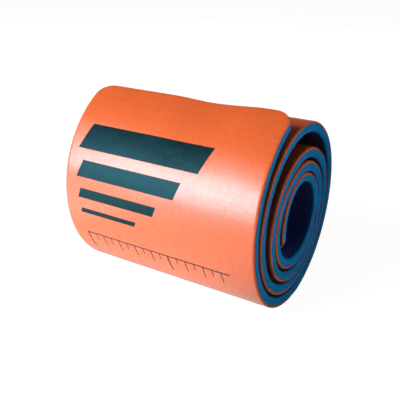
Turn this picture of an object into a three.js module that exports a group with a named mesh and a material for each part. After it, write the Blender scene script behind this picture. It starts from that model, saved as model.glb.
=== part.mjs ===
// A foam splint rolled up and lying on its side: one long strip of soft aluminium sheet sealed
// between two foams, orange on the outside of the roll and blue on the inside.
// X runs along the roll's axis, -Y is its front, Z is up, and it rests on Z = 0.
import * as THREE from 'three';

// The strip, laid flat, in millimetres.
const LENGTH = 914.4;
const WIDTH = 108;
const CORNER_RADIUS = 8;
const SHEET = 0.4;
const OUTER_FOAM = 1.1;
const INNER_FOAM = 3.4;
const GAP = 0.15;

// The foams close on each other in a margin all round the sheet.
const MARGIN = 3;
const SIDE_GAP = 0.25;

// The outer foam is pinched thin along its cut edges, and the inner foam is squeezed to this share
// of its thickness at the inner end, where the roll was started.
const PINCH = { width: 1.2, depth: 0.7 };
const SQUEEZE = { reach: 110, share: 0.6 };

// The roll: where its polar axis is, the angle of the table's first radius, and how many steps of
// the table the inner end lies past it.
const AXIS = { y: 2.517, z: 45.33 };
const START_DEG = 247.5;
const INNER_START = 0.5;

// Control radii of the sheet's middle, a row for each turn from the inside out. The columns go
// round the roll as seen from +X: up the front, over the top, down the back, along the base.
const COLUMNS = [
  'base front', 'front low', 'front high', 'top front', 'top back', 'back high', 'back low', 'base back',
];
const TURNS = [
  [18.5, 17.2, 16.0, 18.8, 21.2, 23.6, 25.0, 25.6],
  [25.5, 25.1, 24.5, 24.2, 27.2, 30.2, 30.5, 31.6],
  [32.6, 31.0, 30.0, 30.9, 34.2, 37.8, 36.0, 37.1],
  [38.5, 40.0, 42.1, 45.7, 47.5, 44.5, 42.0, 43.0],
  [45.5, 46.0, 50.0, 56.0, 61.0],
];
const STEP_DEG = 360 / COLUMNS.length;

// Shallow waves in the free outer end, which fade out over this length of the strip.
const WAVE_REACH = 45;
const WAVES = [
  { at: 12, width: 44, lift: -1.0 },
  { at: 42, width: 34, lift: 0.8 },
];

// Facets: parts of a step of the table, of a rounded corner, and of the waved end's width. Rows at
// equal angles keep clear of the other rows, and two rows of corners this close become one.
const PARTS_OF_STEP = 6;
const PARTS_OF_CORNER = 5;
const WAVE_COLUMNS = 13;
const ROW_CLEARANCE = 1.5;
const SAME_ROW = 0.05;

const RADII = TURNS.flat();
const LAST = RADII.length - 1;
const STEPS = LAST - INNER_START;

// Uniform cubic B-spline over the radii, straight at both ends. Steps count from the inner end.
function radiusAt(step) {
  const i = Math.min(Math.floor(step + INNER_START), LAST - 1);
  const t = step + INNER_START - i;
  const before = RADII[i - 1] ?? 2 * RADII[0] - RADII[1];
  const after = RADII[i + 2] ?? 2 * RADII[LAST] - RADII[LAST - 1];
  return (
    before * (1 - t) ** 3
    + RADII[i] * (3 * t ** 3 - 6 * t ** 2 + 4)
    + RADII[i + 1] * (-3 * t ** 3 + 3 * t ** 2 + 3 * t + 1)
    + after * t ** 3
  ) / 6;
}

// The sheet's middle in the section: x is the roll's Y and y is its Z.
function middleAt(step) {
  const angle = THREE.MathUtils.degToRad(START_DEG - STEP_DEG * (step + INNER_START));
  const radius = radiusAt(step);
  return new THREE.Vector2(AXIS.y + radius * Math.cos(angle), AXIS.z + radius * Math.sin(angle));
}

// Outward normal of the strip: the left of its heading, since it winds clockwise.
const NUDGE = 0.001;
function normalAt(step) {
  const ahead = middleAt(Math.min(step + NUDGE, STEPS));
  const heading = ahead.sub(middleAt(Math.max(step - NUDGE, 0))).normalize();
  return new THREE.Vector2(-heading.y, heading.x);
}

// Length of strip from the inner end to every small part of the winding, and the way back.
const PARTS_OF_FACET = 40;
const FINE = PARTS_OF_STEP * PARTS_OF_FACET;
const lengths = [0];
for (let i = 1; i <= STEPS * FINE; i += 1) {
  lengths.push(lengths[i - 1] + middleAt(i / FINE).distanceTo(middleAt((i - 1) / FINE)));
}

function stepAt(length) {
  const i = Math.max(1, lengths.findIndex((reached) => reached >= length));
  return (i - 1 + (length - lengths[i - 1]) / (lengths[i] - lengths[i - 1])) / FINE;
}

// The stretch of strip whose outer face would reach below the ground, and is pressed flat on it.
const pressed = lengths.filter((length, i) => {
  const step = i / FINE;
  return middleAt(step).y + (SHEET / 2 + GAP + OUTER_FOAM) * normalAt(step).y <= 0;
});
const REST_ENDS = [pressed[0], pressed.at(-1)];

// Lift of the free outer end at a place on the strip: each wave is a raised cosine across it.
function waveAt(length, across) {
  const grown = THREE.MathUtils.smoothstep(length, LENGTH - WAVE_REACH, LENGTH);
  const lifts = WAVES.map(({ at, width, lift }) => {
    const part = THREE.MathUtils.clamp((across - at) / width, -0.5, 0.5);
    return lift * 0.5 * (1 + Math.cos(2 * Math.PI * part));
  });
  return grown * lifts.reduce((sum, lift) => sum + lift, 0);
}

// Half the width of the strip's outline, drawn in by an inset, with its corners rounded.
function halfWidth(length, inset) {
  const fromEnd = Math.min(length, LENGTH - length) - inset;
  const radius = CORNER_RADIUS - inset;
  const left = Math.max(radius - fromEnd, 0);
  return WIDTH / 2 - inset - radius + Math.sqrt(Math.max(radius ** 2 - left ** 2, 0));
}

// Places along the strip where a layer has a row of points: round the corners of its outlines,
// at both ends of the flat it rests on, and at equal angles elsewhere, so that the facets of all
// layers and turns lie alike.
function stationsOf(insets) {
  const corners = insets.flatMap((inset) => {
    const radius = CORNER_RADIUS - inset;
    return Array.from({ length: PARTS_OF_CORNER }, (_, i) => (
      inset + radius * (1 - Math.cos((0.5 * Math.PI * i) / PARTS_OF_CORNER))
    ));
  });
  const start = [...corners, CORNER_RADIUS].sort((a, b) => a - b);
  const apart = start.filter((length, i) => i === 0 || length - start[i - 1] > SAME_ROW);
  const finish = apart.map((length) => LENGTH - length).reverse();
  const fixed = [...apart, ...REST_ENDS, ...finish];
  const regular = [];
  for (let i = 0; i <= STEPS * PARTS_OF_STEP; i += 1) {
    const length = lengths[i * PARTS_OF_FACET];
    const between = length > CORNER_RADIUS && length < LENGTH - CORNER_RADIUS;
    const clear = fixed.every((other) => Math.abs(other - length) > ROW_CLEARANCE);
    if (between && clear) regular.push(length);
  }
  return [...fixed, ...regular].sort((a, b) => a - b);
}

// Places across a row, each with its order from left to right: the two ends of the row, a face's
// own breaks from the outside in, and more places between them in the waved end.
const END_ORDER = 9;
function columnsOf(length, half, breaks) {
  const columns = [half, ...breaks].flatMap((place, i) => [
    { across: -place, order: i - END_ORDER },
    { across: place, order: END_ORDER - i },
  ]);
  if (length > LENGTH - WAVE_REACH) {
    const innermost = Math.min(half, ...breaks) - 1;
    for (let i = 0; i < WAVE_COLUMNS; i += 1) {
      const order = i / (WAVE_COLUMNS - 1) - 0.5;
      if (Math.abs(WIDTH * order) < innermost) columns.push({ across: WIDTH * order, order });
    }
  }
  return columns.sort((a, b) => a.order - b.order);
}

// One layer of the rolled strip as a closed mesh. Each face has a height above the sheet's middle
// at every place, and the distances from the middle of a row where that height breaks.
function layer({ insets, outer, inner }) {
  const inset = Math.min(...insets);
  const points = [];
  const triangles = [];

  const rowOf = (length, face) => {
    const step = stepAt(length);
    const middle = middleAt(step);
    const normal = normalAt(step);
    const half = halfWidth(length, inset);
    return columnsOf(length, half, face.breaks(length, half)).map(({ across, order }) => {
      const height = face.height(length, across, half) + waveAt(length, across);
      const z = middle.y + height * normal.y;
      points.push(across, middle.x + height * normal.x, face.rests ? Math.max(z, 0) : z);
      return { order, index: points.length / 3 - 1 };
    });
  };

  // Triangles between two rows, always taking the next point in order.
  const stitch = (a, b) => {
    let i = 0;
    let j = 0;
    while (i < a.length - 1 || j < b.length - 1) {
      const nextA = a[i + 1]?.order ?? Infinity;
      const nextB = b[j + 1]?.order ?? Infinity;
      if (nextA <= nextB) {
        triangles.push(a[i].index, a[i + 1].index, b[j].index);
        i += 1;
      } else {
        triangles.push(a[i].index, b[j + 1].index, b[j].index);
        j += 1;
      }
    }
  };

  const stations = stationsOf(insets);
  const outside = stations.map((length) => rowOf(length, outer));
  const inside = stations.map((length) => rowOf(length, inner));
  for (let i = 1; i < stations.length; i += 1) {
    stitch(outside[i - 1], outside[i]);
    stitch(inside[i], inside[i - 1]);
    for (const end of [0, -1]) {
      const [o0, o1] = [outside[i - 1].at(end).index, outside[i].at(end).index];
      const [i0, i1] = [inside[i - 1].at(end).index, inside[i].at(end).index];
      triangles.push(...(end === 0 ? [o0, o1, i1, o0, i1, i0] : [o0, i1, o1, o0, i0, i1]));
    }
  }
  stitch(inside[0], outside[0]);
  stitch(outside.at(-1), inside.at(-1));

  const geometry = new THREE.BufferGeometry();
  geometry.setAttribute('position', new THREE.Float32BufferAttribute(points, 3));
  geometry.setIndex(triangles);
  geometry.computeVertexNormals();
  return geometry;
}

const plain = () => [];
const flat = (height) => ({ breaks: plain, height: () => height });

// Orange foam: flat against the sheet, its outer face pinched at the edges and pressed at the base.
const outerSkin = {
  rests: true,
  breaks: (length, half) => [half - PINCH.width],
  height: (length, across, half) => {
    const pinched = Math.abs(across) > half - 0.5 * PINCH.width;
    return SHEET / 2 + GAP + OUTER_FOAM - (pinched ? PINCH.depth : 0);
  },
};
const outerFoam = layer({ insets: [0], outer: outerSkin, inner: flat(SHEET / 2 + GAP) });

// Aluminium sheet: ends short of the foams on all sides.
const core = layer({ insets: [MARGIN + SIDE_GAP], outer: flat(SHEET / 2), inner: flat(-SHEET / 2) });

// Blue foam: a shallow tray that the sheet lies in, with a rim up to the outer foam, and a soft face
// that is squeezed towards the inner end.
const WALL = 0.1;
const inTray = (length) => Math.min(length, LENGTH - length) > MARGIN + 0.5 * WALL;
const tray = {
  breaks: (length) => {
    if (!inTray(length)) return [];
    const floor = halfWidth(length, MARGIN);
    return [floor + WALL, floor];
  },
  height: (length, across) => {
    const under = inTray(length) && Math.abs(across) < halfWidth(length, MARGIN) + 0.5 * WALL;
    return under ? -SHEET / 2 - GAP : SHEET / 2;
  },
};
const softFace = {
  breaks: plain,
  height: (length) => {
    const full = THREE.MathUtils.smoothstep(length, 0, SQUEEZE.reach);
    return -SHEET / 2 - GAP - INNER_FOAM * THREE.MathUtils.lerp(SQUEEZE.share, 1, full);
  },
};
const innerFoam = layer({ insets: [0, MARGIN, MARGIN + WALL], outer: tray, inner: softFace });

const material = (color, roughness, metalness) => (
  new THREE.MeshStandardMaterial({ color, roughness, metalness })
);

const splint = new THREE.Group();
for (const [name, geometry, look] of [
  ['outer_foam', outerFoam, material(0xf0713f, 0.5, 0)],
  ['aluminium_core', core, material(0xc9ccd0, 0.35, 1)],
  ['inner_foam', innerFoam, material(0x00639a, 0.6, 0)],
]) {
  const mesh = new THREE.Mesh(geometry, look);
  mesh.name = name;
  splint.add(mesh);
}

export default splint;
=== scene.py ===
import math

import bpy
import numpy as np
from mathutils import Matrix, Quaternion, Vector


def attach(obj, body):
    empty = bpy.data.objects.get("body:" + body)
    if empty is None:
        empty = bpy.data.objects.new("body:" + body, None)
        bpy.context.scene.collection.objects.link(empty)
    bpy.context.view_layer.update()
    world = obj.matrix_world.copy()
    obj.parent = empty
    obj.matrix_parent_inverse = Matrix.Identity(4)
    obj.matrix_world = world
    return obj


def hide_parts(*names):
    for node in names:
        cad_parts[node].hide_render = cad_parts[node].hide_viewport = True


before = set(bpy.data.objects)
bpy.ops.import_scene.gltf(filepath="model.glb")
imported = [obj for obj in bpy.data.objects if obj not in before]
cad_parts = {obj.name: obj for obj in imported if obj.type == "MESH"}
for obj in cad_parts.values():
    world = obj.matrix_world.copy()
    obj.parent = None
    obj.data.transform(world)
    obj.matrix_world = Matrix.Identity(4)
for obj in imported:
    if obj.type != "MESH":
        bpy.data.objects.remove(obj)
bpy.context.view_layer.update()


# Aluminium sheet. The splint's core is one soft-tempered sheet, thin enough to bend by hand and
# stiff enough to hold the bend. It is rolled at the mill, which leaves fine lines along the
# strip, and it lies between the foams with a margin of foam all round.
MM = 0.001
MILL_LINE = 0.4 * MM
MILL_LINE_DEPTH = 0.01 * MM
MILL_STRETCH = (1, 0.04, 0.04)
SHEET_TINT = ((0.70, 0.71, 0.72, 1), (0.82, 0.83, 0.84, 1))
SHEET_ROUGHNESS = (0.22, 0.47)


class Wire:
    """An output socket of a material's nodes. Arithmetic on wires adds Math nodes."""

    def __init__(self, tree, socket):
        self.tree = tree
        self.socket = socket

    def node(self, kind, settings, sockets, output=0):
        """Adds a node: its settings first, then the values or links of its sockets."""
        added = self.tree.nodes.new(kind)
        for name, value in settings.items():
            setattr(added, name, value)
        for name, value in sockets.items():
            if isinstance(value, Wire):
                self.tree.links.new(value.socket, added.inputs[name])
            else:
                added.inputs[name].default_value = value
        return Wire(self.tree, added.outputs[output])

    def maths(self, operation, *values, clamp=False):
        settings = {"operation": operation, "use_clamp": clamp}
        return self.node("ShaderNodeMath", settings, dict(enumerate(values)))

    def __add__(self, other):
        return self.maths("ADD", self, other)

    def __sub__(self, other):
        return self.maths("SUBTRACT", self, other)

    def __mul__(self, other):
        return self.maths("MULTIPLY", self, other)

    def __rsub__(self, other):
        return self.maths("SUBTRACT", other, self)

    __radd__ = __add__
    __rmul__ = __mul__

    def least(self, other):
        return self.maths("MINIMUM", self, other)

    def most(self, other):
        return self.maths("MAXIMUM", self, other)

    def clamped(self):
        return self.maths("ADD", self, 0, clamp=True)

    def between(self, low, high):
        """The number low where this wire is 0 and high where it is 1."""
        return low + (high - low) * self

    def fading(self, full, gone):
        """1 where this wire is at most full, falling to 0 where it is gone."""
        return ((gone - self) * (1 / (gone - full))).clamped()

    def colour(self, low, high):
        """The colour low where this wire is 0 and high where it is 1."""
        return self.node("ShaderNodeMix", {"data_type": "RGBA"}, {0: self, 6: low, 7: high}, 2)

    def noise(self, length, detail=2.0):
        """Cloudy noise from 0 to 1, with this wire as its place and lumps of about this length."""
        sockets = {"Vector": self, "Scale": 1 / length, "Detail": detail}
        return self.node("ShaderNodeTexNoise", {}, sockets)

    def raised(self, height, under=None):
        """A surface normal with this wire as its relief, up to a height, over another relief."""
        sockets = {"Height": self, "Distance": height, "Strength": 1.0}
        if under:
            sockets["Normal"] = under
        return self.node("ShaderNodeBump", {}, sockets)


def new_finish(name, **constants):
    """A material with its constants set, its shader, and the place on the part as a wire."""
    finish = bpy.data.materials.new(name)
    finish.use_nodes = True
    tree = finish.node_tree
    shader = tree.nodes["Principled BSDF"]
    for socket, value in constants.items():
        shader.inputs[socket.replace("_", " ")].default_value = value
    place = Wire(tree, tree.nodes.new("ShaderNodeTexCoord").outputs["Object"])
    return finish, shader, place


def feed(shader, **wires):
    """Links wires to a shader's sockets, each named with _ for a space."""
    for socket, wire in wires.items():
        wire.tree.links.new(wire.socket, shader.inputs[socket.replace("_", " ")])


rolled_sheet, shader, place = new_finish("rolled_aluminium", Metallic=1.0)
stretched = place.node("ShaderNodeVectorMath", {"operation": "MULTIPLY"}, {0: place, 1: MILL_STRETCH})
mill_lines = stretched.noise(MILL_LINE, detail=4.0)
feed(
    shader,
    Base_Color=mill_lines.colour(*SHEET_TINT),
    Roughness=mill_lines.between(*SHEET_ROUGHNESS),
    Normal=mill_lines.raised(MILL_LINE_DEPTH),
)
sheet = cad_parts["aluminium_core"]
sheet.data.materials.clear()
sheet.data.materials.append(rolled_sheet)


# Blue foam. The soft side that lies on the skin: closed-cell foam sheet on the inside of every
# turn, die-cut with rounded corners, so its cut edges swell a little and show their fine cells.
# It is bonded to the orange foam in a margin round the sheet, and wound up with it.
LENGTH = 914.4
WIDTH = 108
CORNER_RADIUS = 8
AXIS = (2.517, 45.33)
START_DEG = 247.5
STEP_DEG = 45
INNER_START = 0.5
# Control radii of the sheet's middle, a row for each turn from the inside out. Columns: base
# front, front low, front high, top front, top back, back high, back low, base back.
TURNS = [
    [18.5, 17.2, 16.0, 18.8, 21.2, 23.6, 25.0, 25.6],
    [25.5, 25.1, 24.5, 24.2, 27.2, 30.2, 30.5, 31.6],
    [32.6, 31.0, 30.0, 30.9, 34.2, 37.8, 36.0, 37.1],
    [38.5, 40.0, 42.1, 45.7, 47.5, 44.5, 42.0, 43.0],
    [45.5, 46.0, 50.0, 56.0, 61.0],
]
FINE_PARTS = 12000
NUDGE = 0.001
# Waves across the free end: where each is, how wide, and how far it lifts.
WAVE_REACH = 45
WAVES = [(12, 44, -1.0), (42, 34, 0.8)]
# Grid of the foams: degrees between rows, rows in a rounded corner, and columns of the flat face.
ROW_DEG = 2
CORNER_ROWS = 5
ROW_CLEARANCE = 1
FACE_COLUMNS = 27

radii = np.concatenate(TURNS)
before_and_after = np.concatenate([[2 * radii[0] - radii[1]], radii, [2 * radii[-1] - radii[-2]]])


def smooth(part):
    """From 0 to 1 with level ends, for parts that are clipped to 0 and 1."""
    part = np.clip(part, 0, 1)
    return part**2 * (3 - 2 * part)


def winding(step):
    """The sheet's middle in the roll's section, and its outward normal, at steps of the table."""
    def middle(at):
        i = np.minimum(at.astype(int), len(radii) - 2)
        t = at - i
        weights = [(1 - t)**3, 3 * t**3 - 6 * t**2 + 4, -3 * t**3 + 3 * t**2 + 3 * t + 1, t**3]
        radius = sum(w * before_and_after[i + k] for k, w in enumerate(weights)) / 6
        angle = np.radians(START_DEG - STEP_DEG * at)
        return np.stack([AXIS[0] + radius * np.cos(angle), AXIS[1] + radius * np.sin(angle)], -1)
    heading = middle(step + NUDGE) - middle(np.maximum(step - NUDGE, 0))
    heading /= np.linalg.norm(heading, axis=-1, keepdims=True)
    return middle(step), np.stack([-heading[..., 1], heading[..., 0]], -1)


fine_steps = np.linspace(INNER_START, len(radii) - 1 - 10 * NUDGE, FINE_PARTS)
fine_middle, _ = winding(fine_steps)
fine_lengths = np.concatenate([[0], np.cumsum(np.linalg.norm(np.diff(fine_middle, axis=0), axis=1))])


def rolled(along, across, height):
    """Points of the rolled strip, in metres, from places on it and heights over its sheet."""
    middle, normal = winding(np.interp(along, fine_lengths, fine_steps))
    grown = smooth((along - LENGTH + WAVE_REACH) / WAVE_REACH)
    for at, width, lift in WAVES:
        part = np.clip((across - at) / width, -0.5, 0.5)
        height = height + grown * lift * 0.5 * (1 + np.cos(2 * np.pi * part))
    section = middle + height[..., None] * normal
    return np.stack([across, section[..., 0], np.maximum(section[..., 1], 0)], -1) * MM


def foam_layer(name, near_edge, outer, inner):
    """One foam of the strip as a closed mesh: two faces that share their rim, each a height over
    the sheet from the distance to the cut edge and the length of strip. Its strip attribute
    holds, in millimetres, the distances from the free end, the middle and the cut edge."""
    near_edge = np.array(near_edge)
    ends = np.concatenate([near_edge, np.linspace(near_edge[-1], CORNER_RADIUS, CORNER_ROWS + 1)[1:]])
    face_ends = [ends[-1] + ROW_CLEARANCE, LENGTH - ends[-1] - ROW_CLEARANCE]
    turning = np.arange(*np.interp(face_ends, fine_lengths, fine_steps), ROW_DEG / STEP_DEG)
    stations = np.concatenate([ends, np.interp(turning, fine_steps, fine_lengths), LENGTH - ends[::-1]])

    from_end = np.minimum(stations, LENGTH - stations)
    drawn_in = np.maximum(CORNER_RADIUS - from_end, 0)
    half = WIDTH / 2 - CORNER_RADIUS + np.sqrt(CORNER_RADIUS**2 - drawn_in**2)
    across = np.concatenate([
        near_edge[None] - half[:, None],
        (half[:, None] - near_edge[-1]) * np.linspace(-1, 1, FACE_COLUMNS)[None, 1:-1],
        (half[:, None] - near_edge[None])[:, ::-1],
    ], axis=1)
    along = np.broadcast_to(stations[:, None], across.shape)
    from_side = WIDTH / 2 - np.abs(across)
    from_end = np.broadcast_to(from_end[:, None], across.shape)
    corner = np.hypot(np.maximum(CORNER_RADIUS - from_end, 0), np.maximum(CORNER_RADIUS - from_side, 0))
    edge = np.where(
        np.maximum(from_end, from_side) < CORNER_RADIUS,
        CORNER_RADIUS - corner,
        np.minimum(from_end, from_side),
    )
    edge = np.maximum(edge, 0)

    count = across.size
    within_rim = (slice(1, -1), slice(1, -1))
    outside = np.arange(count).reshape(across.shape)
    inside = outside.copy()
    inside[within_rim] = count + np.arange(inside[within_rim].size).reshape(inside[within_rim].shape)
    points = np.concatenate([
        rolled(along, across, outer(edge, along)).reshape(-1, 3),
        rolled(along, across, inner(edge, along))[within_rim].reshape(-1, 3),
    ])
    places = np.stack([LENGTH - along, across, edge], -1)
    places = np.concatenate([places.reshape(-1, 3), places[within_rim].reshape(-1, 3)])

    def quads(grid):
        corners = [grid[:-1, :-1], grid[:-1, 1:], grid[1:, 1:], grid[1:, :-1]]
        return np.stack(corners, -1).reshape(-1, 4)

    mesh = bpy.data.meshes.new(name)
    mesh.from_pydata(points, [], np.concatenate([quads(outside), quads(inside)[:, ::-1]]))
    mesh.attributes.new("strip", "FLOAT_VECTOR", "POINT").data.foreach_set("vector", places.ravel())
    mesh.shade_smooth()
    mesh.validate()
    layer = bpy.data.objects.new(name, mesh)
    bpy.context.scene.collection.objects.link(layer)
    return layer


def swell(edge, reach, power):
    """From 0 at the cut edge to 1 at a reach from it, round like a swollen or pinched edge."""
    left = np.clip(1 - edge / reach, 0, 1)
    return (1 - left**power)**(1 / power)


# Heights over the sheet's middle, and the blue's share of its thickness where it is squeezed at
# the inner end. A rounding is its reach from the cut edge and its power.
BLUE_BACK = -0.35
BLUE_THICKNESS = 3.4
BLUE_BELLY = -1.7
BLUE_RIM = 0.33
BLUE_BACK_ROUNDING = (0.15, 2.4)
BLUE_FACE_ROUNDING = (0.7, 2.2)
SQUEEZED = 0.6
SQUEEZE_REACH = 110
TRAY_FLOOR = -0.5
TRAY_MARGIN = 2.9
# The turns lie loose at the front and tight low at the back: the angle of the tight side's middle,
# the cosines of the angles from it where loose ends and tight begins, and what the seam rises there.
TIGHT_DEG = -25
TIGHT = (0.2, 0.5)
SEAM_RISE = (-0.2, 1.05)
SEAM_REACH = 2.4
BLUE_COLUMNS = [0, 0.02, 0.07, 0.15, 0.26, 0.4, 0.6, 0.85, 1.4, 2.85, 2.95, 4.5]
# Finish: the skin's blue, painted darker than the cut edge's as painted shade for the dim hollow and
# the gaps between the turns, the brighter blue of the cut edge, which fades out from it into that
# painted shade, and how much the cells and the broad clouds count in the tone and the relief.
BLUE_SKIN_PAINTED_SHADE = ((0.065, 0.105, 0.33, 1), (0.095, 0.150, 0.46, 1))
BLUE_CUT = ((0.0, 0.16, 0.42, 1), (0.0, 0.25, 0.58, 1))
CUT_TO_PAINTED_SHADE_FADE = (0.667, 2.333)
CELL = 0.45 * MM
CELL_DEPTH = 0.05 * MM
BLUE_CLOUD = 7 * MM
BLUE_CLOUD_DEPTH = 0.25 * MM
CELL_TONE = 0.55
BLUE_CLOUD_TONE = 0.9
BLUE_TONE_BASE = -0.25
BLUE_ROUGHNESS = (0.50, 0.70)
CUT_ROUGHER = 0.12


def by_tightness(loose, tight, along):
    """A size that goes from loose at the front of the roll to tight low at its back, where the
    turns lie close on each other."""
    turned_deg = START_DEG - STEP_DEG * np.interp(along, fine_lengths, fine_steps)
    return np.interp(np.cos(np.radians(turned_deg - TIGHT_DEG)), TIGHT, (loose, tight))


def seam_rise(edge, along):
    """How far the seam of the two foams rises towards the cut edge, or dips where it is loose."""
    return by_tightness(*SEAM_RISE, along) * np.clip(1 - edge / SEAM_REACH, 0, 1)**2


def blue_back(edge, along):
    """The side that is bonded to the orange: a rim round a shallow tray that holds the sheet."""
    top = BLUE_RIM + seam_rise(edge, along)
    rim = BLUE_BELLY + (top - BLUE_BELLY) * swell(edge, *BLUE_BACK_ROUNDING)
    return np.where(edge > TRAY_MARGIN, TRAY_FLOOR, rim)


def blue_front(edge, along):
    """The side that lies on the skin, thinner towards the squeezed inner end."""
    full = SQUEEZED + (1 - SQUEEZED) * smooth(along / SQUEEZE_REACH)
    face = BLUE_BACK - BLUE_THICKNESS * full
    return BLUE_BELLY + (face - BLUE_BELLY) * swell(edge, *BLUE_FACE_ROUNDING)


inner_foam = foam_layer("blue_foam", BLUE_COLUMNS, blue_back, blue_front)

blue_skin, shader, place = new_finish("blue_foam", Specular_IOR_Level=0.06)
strip = place.node("ShaderNodeAttribute", {"attribute_name": "strip"}, {}, "Vector")
from_edge = strip.node("ShaderNodeSeparateXYZ", {}, {0: strip}, "Z")
cut_edge_unshaded = from_edge.fading(*CUT_TO_PAINTED_SHADE_FADE)
cells = place.noise(CELL, detail=3.0)
clouds = place.noise(BLUE_CLOUD)
tone = (CELL_TONE * cells + BLUE_CLOUD_TONE * clouds + BLUE_TONE_BASE).clamped()
# The skin's blue carries painted shade for the hollow and the gaps; the cut edge shows the unshaded
# blue.
feed(
    shader,
    Base_Color=cut_edge_unshaded.colour(tone.colour(*BLUE_SKIN_PAINTED_SHADE), tone.colour(*BLUE_CUT)),
    Roughness=cells.between(*BLUE_ROUGHNESS) + CUT_ROUGHER * cut_edge_unshaded,
    Normal=cells.raised(CELL_DEPTH, under=clouds.raised(BLUE_CLOUD_DEPTH)),
)
inner_foam.data.materials.append(blue_skin)
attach(inner_foam, "root")
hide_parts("inner_foam")


# Orange foam. The outer side of the splint: a thinner sheet of the same foam with a satin skin,
# bonded over the sheet and pinched thin along the cut edges, where its duller brown is partly the
# pressed foam's tone and partly painted shade. Its outer end has a plain print in dark ink, four
# bars and a ruler scale, which sinks into the grain of the skin.
ORANGE_BACK = 0.40
ORANGE_FACE = 1.45
ORANGE_EDGE = (0.92, 1.42)
ORANGE_PINCH = (1.3, 2.0)
ORANGE_LIP = 0.1
ORANGE_COLUMNS = [0, 0.03, 0.10, 0.22, 0.38, 0.58, 0.82, 1.1, 1.5, 2.6]
ORANGE = ((0.78, 0.120, 0.026, 1), (0.88, 0.170, 0.044, 1))
# Colour of the pinched rim: partly the pressed foam's duller tone, partly painted shade that joins the
# rims to the dark gaps between the turns.
PINCHED_RIM_TONE_AND_SHADE = (0.76, 0.150, 0.058, 1)
PINCHED_RIM_SHADE_FADE = (0.071, 0.786)
# Relief of the skin, from fine to broad: the length of the lumps, their depth, and how much they
# count in the tone and in the gloss.
GRAIN = 0.8 * MM
GRAIN_DEPTH = 0.09 * MM
GRAIN_TONE = 0.6
GRAIN_GLOSS = 0.9
PEBBLE = 2.6 * MM
PEBBLE_DEPTH = 0.12 * MM
PEBBLE_TONE = 0.5
PEBBLE_GLOSS = 0.3
ORANGE_CLOUD = 16 * MM
ORANGE_CLOUD_DEPTH = 0.5 * MM
ORANGE_CLOUD_TONE = 0.5
ORANGE_TONE_BASE = -0.3
GLOSS_BASE = 0.15
ORANGE_ROUGHNESS = (0.40, 0.52)
INK = ((0.007, 0.028, 0.031, 1), (0.014, 0.050, 0.056, 1))
INK_COVER = (1.3, 0.9)
INK_METALLIC = 0.75
INK_BLUR = 0.16
# Bars of the print: distance of the top from the free end, height, left and right.
BARS = [
    (26, 13.0, -44, 26),
    (44.5, 8.5, -44, 14),
    (58.5, 5.0, -44, 2),
    (69, 2.6, -44, -10),
]
BAR_SLANT = 0.35
# Scale: its base line, how far that goes past its end ticks, and the spacing, length and thickness
# of each size of tick.
SCALE_LINE = (84, 0.8, -44, 40)
SCALE_PAST = 0.5
TICKS = [(5, 5, 0.5), (10, 8, 0.6), (50, 12, 0.9)]


def orange_front(edge, along):
    """The satin outside, pinched down to the rim."""
    rim = by_tightness(*ORANGE_EDGE, along)
    return rim + (ORANGE_FACE - rim) * swell(edge, *ORANGE_PINCH)


def orange_back(edge, along):
    """The side that is bonded to the blue, up to the rim in a short lip."""
    rim = by_tightness(*ORANGE_EDGE, along)
    seam = ORANGE_BACK + seam_rise(edge, along)
    return rim + (seam - rim) * np.clip(edge / ORANGE_LIP, 0, 1)


outer_foam = foam_layer("orange_foam", ORANGE_COLUMNS, orange_front, orange_back)

orange_skin, shader, place = new_finish(
    "orange_foam", Specular_IOR_Level=0.0, Coat_IOR=1.85, Coat_Roughness=0.31
)
strip = place.node("ShaderNodeAttribute", {"attribute_name": "strip"}, {}, "Vector")
along, across, from_edge = (strip.node("ShaderNodeSeparateXYZ", {}, {0: strip}, o) for o in "XYZ")


def inked(inside):
    """A soft-edged mask of what lies inside by a number of millimetres."""
    return (inside * (1 / INK_BLUR) + 0.5).clamped()


def band(top, height):
    """How far inside a band across the strip a place is."""
    return (along - top).least(top + height - along)


def slanted_bar(top, height, left, right):
    leaning = across + (along - top) * BAR_SLANT
    return inked(band(top, height).least(leaning - left).least(right - leaning))


printed = slanted_bar(*BARS[0])
for bar in BARS[1:]:
    printed = printed.most(slanted_bar(*bar))
scale_top, line_height, scale_left, scale_right = SCALE_LINE
from_left = across - scale_left
within = (from_left + SCALE_PAST).least(scale_right + SCALE_PAST - across)
printed = printed.most(inked(band(scale_top, line_height).least(within)))
for spacing, length, thickness in TICKS:
    beside = from_left.maths("PINGPONG", from_left, spacing / 2)
    tick = (thickness / 2 - beside).least(band(scale_top, length))
    printed = printed.most(inked(tick.least(within)))

grain = place.noise(GRAIN, detail=3.0)
pebble = place.noise(PEBBLE)
clouds = place.noise(ORANGE_CLOUD)
pinched_rim_shade = from_edge.fading(*PINCHED_RIM_SHADE_FADE)
mottling = GRAIN_TONE * grain + PEBBLE_TONE * pebble + ORANGE_CLOUD_TONE * clouds
tone = (mottling + ORANGE_TONE_BASE).clamped()
gloss = GLOSS_BASE + GRAIN_GLOSS * grain + PEBBLE_GLOSS * pebble
# The pinched rim is painted a duller brown, partly the pressed foam's tone and partly painted shade.
skin = pinched_rim_shade.colour(tone.colour(*ORANGE), PINCHED_RIM_TONE_AND_SHADE)
ink = grain.colour(*INK)
relief = pebble.raised(PEBBLE_DEPTH, under=clouds.raised(ORANGE_CLOUD_DEPTH))
feed(
    shader,
    Base_Color=(printed * grain.between(*INK_COVER)).clamped().colour(skin, ink),
    Roughness=grain.between(*ORANGE_ROUGHNESS),
    Metallic=INK_METALLIC * printed,
    Coat_Weight=gloss * (1 - printed) * (1 - pinched_rim_shade),
    Normal=grain.raised(GRAIN_DEPTH, under=relief),
)
outer_foam.data.materials.append(orange_skin)
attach(outer_foam, "root")
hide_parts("outer_foam")


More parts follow.
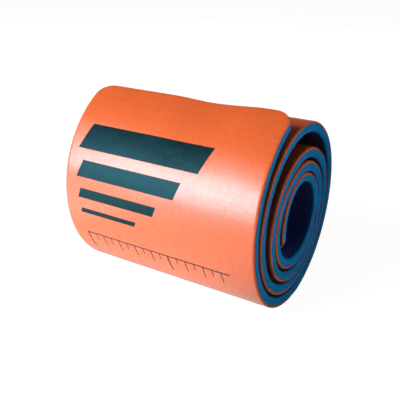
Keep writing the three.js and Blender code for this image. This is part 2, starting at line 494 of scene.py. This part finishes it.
# Table. A wide white sweep that the roll lies on. It glows by itself, so that it stays pale to its
# far edge, but that glow shows only to the camera and in the gloss.
TABLE_REACH = 3.0
TABLE_TILES = 8
TABLE_WHITE = (0.20, 0.20, 0.20, 1)
TABLE_GLOW = 0.95
TABLE_CLOUD = 30 * MM
TABLE_ROUGHNESS = (0.75, 0.85)
PURE_WHITE = (1, 1, 1, 1)

table_mesh = bpy.data.meshes.new("table")
steps = np.linspace(-TABLE_REACH, TABLE_REACH, TABLE_TILES + 1)
corners = np.stack(np.meshgrid(steps, steps, [0.0], indexing="ij"), -1).reshape(-1, 3)
grid = np.arange(len(corners)).reshape(len(steps), len(steps))
tiles = np.stack([grid[:-1, :-1], grid[1:, :-1], grid[1:, 1:], grid[:-1, 1:]], -1).reshape(-1, 4)
table_mesh.from_pydata(corners, [], tiles)
table = bpy.data.objects.new("table", table_mesh)
table.visible_diffuse = False
bpy.context.scene.collection.objects.link(table)
white_sweep, shader, place = new_finish(
    "white_sweep", Base_Color=TABLE_WHITE, Emission_Color=PURE_WHITE, Emission_Strength=TABLE_GLOW
)
feed(shader, Roughness=place.noise(TABLE_CLOUD).between(*TABLE_ROUGHNESS))
table_mesh.materials.append(white_sweep)


# Backdrop. A white wall that stands all round the table, for the views from low down. Only the
# camera sees it, so it throws no light of its own on the part.
WALL_HEIGHT = 4.0
WALL_SIDES = 48
WALL_GLOW = 1.0

turns = np.linspace(0, 2 * np.pi, WALL_SIDES, endpoint=False)
foot = np.stack([np.cos(turns), np.sin(turns), np.zeros(WALL_SIDES)], -1) * TABLE_REACH
here = np.arange(WALL_SIDES)
ahead = np.roll(here, -1)
wall_mesh = bpy.data.meshes.new("backdrop")
wall_mesh.from_pydata(
    np.concatenate([foot, foot + (0, 0, WALL_HEIGHT)]),
    [],
    np.stack([here, ahead, ahead + WALL_SIDES, here + WALL_SIDES], -1),
)
backdrop = bpy.data.objects.new("backdrop", wall_mesh)
backdrop.visible_diffuse = False
backdrop.visible_glossy = False
backdrop.visible_shadow = False
bpy.context.scene.collection.objects.link(backdrop)
white_wall, _, _ = new_finish(
    "white_wall", Base_Color=TABLE_WHITE, Emission_Color=PURE_WHITE, Emission_Strength=WALL_GLOW
)
wall_mesh.materials.append(white_wall)


# Lamps. A long softbox in front and to the left makes the pale band along the roll, and a small
# one carries it up at the far end. Softer light, kept out of the gloss, falls from the front, off
# the table and from behind, and a narrow beam rakes the cut edges of the near end.
ROLL_MIDDLE = (0, 0, 0.05)
END_TOP = (0.054, -0.03, 0.09)
COOL_WHITE = (0.80, 0.82, 1.0)
ROUND_LIGHT = 0.045


def hang_lamp(name, place, size, power, faced=ROLL_MIDDLE, in_gloss=False, tilt_deg=0, beam_deg=180):
    """A flat lamp that faces a point. It shows in the gloss alone, or else lights all but the gloss."""
    lamp = bpy.data.lights.new(name, "AREA")
    lamp.shape = "RECTANGLE"
    lamp.size, lamp.size_y = size
    lamp.energy = power
    lamp.spread = math.radians(beam_deg)
    if in_gloss:
        lamp.color = COOL_WHITE
    holder = bpy.data.objects.new(name, lamp)
    holder.location = place
    facing = (Vector(place) - Vector(faced)).to_track_quat("Z", "Y")
    tilt = Quaternion((0, 0, 1), math.radians(tilt_deg))
    holder.rotation_euler = (facing @ tilt).to_euler()
    holder.visible_camera = False
    holder.visible_glossy = in_gloss
    holder.visible_diffuse = not in_gloss
    bpy.context.scene.collection.objects.link(holder)


def lay_lamp(name, place, size, power, in_gloss=False):
    """A lamp that lies on the table and shines up, for the light that comes off the white."""
    hang_lamp(name, place, size, power, faced=(*place[:2], 1), in_gloss=in_gloss)


hang_lamp("softbox", (-0.37, -0.67, 0.26), size=(0.46, 0.36), power=7.2, in_gloss=True, tilt_deg=-20)
hang_lamp("far_softbox", (-0.51, -0.40, 0.52), size=(0.26, 0.26), power=0.5, in_gloss=True)
hang_lamp("front", (-0.415, -0.65, 0.52), size=(0.60, 0.40), power=10.3)
hang_lamp("behind", (-0.10, 0.90, 0.03), size=(0.70, 0.30), power=6.0)
hang_lamp("edges", (0.79, 0.08, 0.14), size=(0.12, 0.16), power=0.0315, faced=END_TOP, beam_deg=12)
lay_lamp("off_table", (-0.15, -0.18, 0.002), size=(0.38, 0.28), power=0.55)
lay_lamp("table_sheen", (-0.18, -0.18, 0.006), size=(0.22, 0.22), power=0.22, in_gloss=True)
world = bpy.data.worlds.new("round_light")
world.use_nodes = True
background = world.node_tree.nodes["Background"]
background.inputs["Color"].default_value = PURE_WHITE
background.inputs["Strength"].default_value = ROUND_LIGHT
bpy.context.scene.world = world
bpy.context.scene.view_settings.view_transform = "Standard"


# Camera. It stands above the front right and looks down at the near end of the roll, with the
# place, heading and lens that were fitted to the photograph.
CAMERA_PLACE = (0.15171, -0.25236, 0.17799)
CAMERA_AZIMUTH_DEG = 31.36
CAMERA_ELEVATION_DEG = 24.64
CAMERA_LENS = 54
CAMERA_NEAREST = 0.01

camera_data = bpy.data.cameras.new("camera")
camera_data.lens = CAMERA_LENS
camera_data.clip_start = CAMERA_NEAREST
camera = bpy.data.objects.new("camera", camera_data)
camera.location = CAMERA_PLACE
camera.rotation_euler = (math.radians(90 - CAMERA_ELEVATION_DEG), 0, math.radians(CAMERA_AZIMUTH_DEG))
bpy.context.scene.collection.objects.link(camera)
bpy.context.scene.camera = camera
